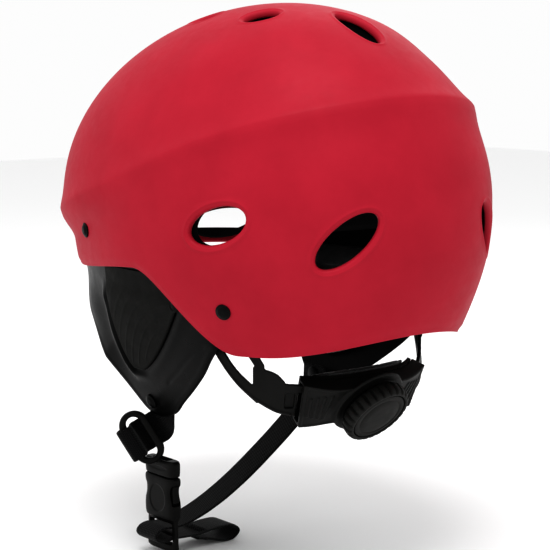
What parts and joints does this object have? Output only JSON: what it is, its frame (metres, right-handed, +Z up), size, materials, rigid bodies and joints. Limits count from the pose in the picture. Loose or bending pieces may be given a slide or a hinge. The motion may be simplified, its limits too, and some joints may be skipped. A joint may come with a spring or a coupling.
{
  "type": "watersports helmet",
  "caption": "Hard-shell watersports helmet with vents, riveted ear guards, foam liner, dial-adjusted nape cradle and buckled chin strap.",
  "frame": {"origin": "inside the head cavity, on the centre plane, level with the tops of the ears", "axes": "+Z up toward the crown, -Y toward the wearer's face, +X toward the wearer's left"},
  "size_m": [0.2134, 0.2768, 0.3189],
  "materials": {
    "shell_red": "satin red moulded ABS with a fine matt texture",
    "liner_foam": "closed-cell EVA foam",
    "comfort_fabric": "knitted lining over soft foam",
    "rivet_black": "black coated, domed",
    "guard_black": "moulded black polyethylene, satin gloss",
    "panel_matt": "matt textured inset",
    "cradle_black": "moulded nylon, matt",
    "dial_black": "soft-touch matt",
    "buckle_black": "moulded acetal, satin",
    "webbing": "flat woven polyester webbing"
  },
  "bodies": {
    "helmet": {"outer_shell": "shell_red", "foam_liner": "liner_foam", "crown_pad": "comfort_fabric", "brow_pad": "comfort_fabric", "rear_pad": "comfort_fabric", "left_temple_pad": "comfort_fabric", "right_temple_pad": "comfort_fabric", "left_front_rivet": "rivet_black", "right_front_rivet": "rivet_black", "left_front_washer": "rivet_black", "right_front_washer": "rivet_black", "left_rear_rivet": "rivet_black", "right_rear_rivet": "rivet_black", "left_rear_washer": "rivet_black", "right_rear_washer": "rivet_black", "left_ear_guard": "guard_black", "right_ear_guard": "guard_black", "left_ear_panel": "panel_matt", "right_ear_panel": "panel_matt", "left_ear_pad": "comfort_fabric", "right_ear_pad": "comfort_fabric", "left_cradle_stud": "rivet_black", "right_cradle_stud": "rivet_black", "left_strap_rivet": "rivet_black", "right_strap_rivet": "rivet_black"},
    "cradle_yoke": {"left_cradle_pivot": "cradle_black", "right_cradle_pivot": "cradle_black"},
    "nape_cradle": {"dial_housing": "cradle_black", "housing_cover": "cradle_black", "nape_pad": "comfort_fabric", "detent_ring": "cradle_black"},
    "left_arm": {"left_cradle_arm": "cradle_black"},
    "right_arm": {"right_cradle_arm": "cradle_black"},
    "dial": {"dial_knob": "dial_black", "dial_cap": "dial_black", "dial_pinion": "cradle_black", "dial_screw": "rivet_black"},
    "chin_strap": {"left_strap": "webbing", "buckle_male": "buckle_black"},
    "front_latch": {"front_prong": "buckle_black"},
    "rear_latch": {"rear_prong": "buckle_black"},
    "strap_socket": {"buckle_female": "buckle_black", "right_strap": "webbing"}
  },
  "joints": [
    {"name": "cradle_tilt", "type": "hinge", "parent": "helmet", "child": "cradle_yoke", "pos_m": [0, 0.03, -0.004], "axis": [1, 0, 0], "range_deg": [-6, 8]},
    {"name": "cradle_tighten", "type": "slide", "parent": "cradle_yoke", "child": "nape_cradle", "axis": [0, -1, 0], "range_m": [0, 0.005]},
    {"name": "left_arm_swing", "type": "hinge", "parent": "cradle_yoke", "child": "left_arm", "pos_m": [0.076, 0.03, -0.004], "axis": [0, 0, 1], "range_deg": [0, 5]},
    {"name": "right_arm_swing", "type": "hinge", "parent": "cradle_yoke", "child": "right_arm", "pos_m": [-0.076, 0.03, -0.004], "axis": [0, 0, 1], "range_deg": [-5, 0]},
    {"name": "dial_turn", "type": "hinge", "parent": "nape_cradle", "child": "dial", "pos_m": [0, 0.07892, -0.05682], "axis": [0, 0.788, -0.6157], "range_deg": [0, 60]},
    {"name": "chin_strap_swing", "type": "hinge", "parent": "helmet", "child": "chin_strap", "pos_m": [0, -0.027, -0.07], "axis": [1, 0, 0], "range_deg": [-30, 30]},
    {"name": "buckle_release", "type": "slide", "parent": "chin_strap", "child": "strap_socket", "axis": [0, 0, -1], "range_m": [0, 0.014]},
    {"name": "front_prong_squeeze", "type": "slide", "parent": "chin_strap", "child": "front_latch", "axis": [0, 1, 0], "range_m": [0, 0.0023]},
    {"name": "rear_prong_squeeze", "type": "slide", "parent": "chin_strap", "child": "rear_latch", "axis": [0, -1, 0], "range_m": [0, 0.0023]}
  ],
  "couplings": [
    {"joint": "left_arm_swing", "follows": "cradle_tighten", "rad_per_m": 16.6},
    {"joint": "right_arm_swing", "follows": "cradle_tighten", "rad_per_m": -16.6},
    {"joint": "dial_turn", "follows": "cradle_tighten", "rad_per_m": 200},
    {"joint": "front_prong_squeeze", "follows": "buckle_release", "ratio": 0.157},
    {"joint": "rear_prong_squeeze", "follows": "buckle_release", "ratio": 0.157}
  ]
}
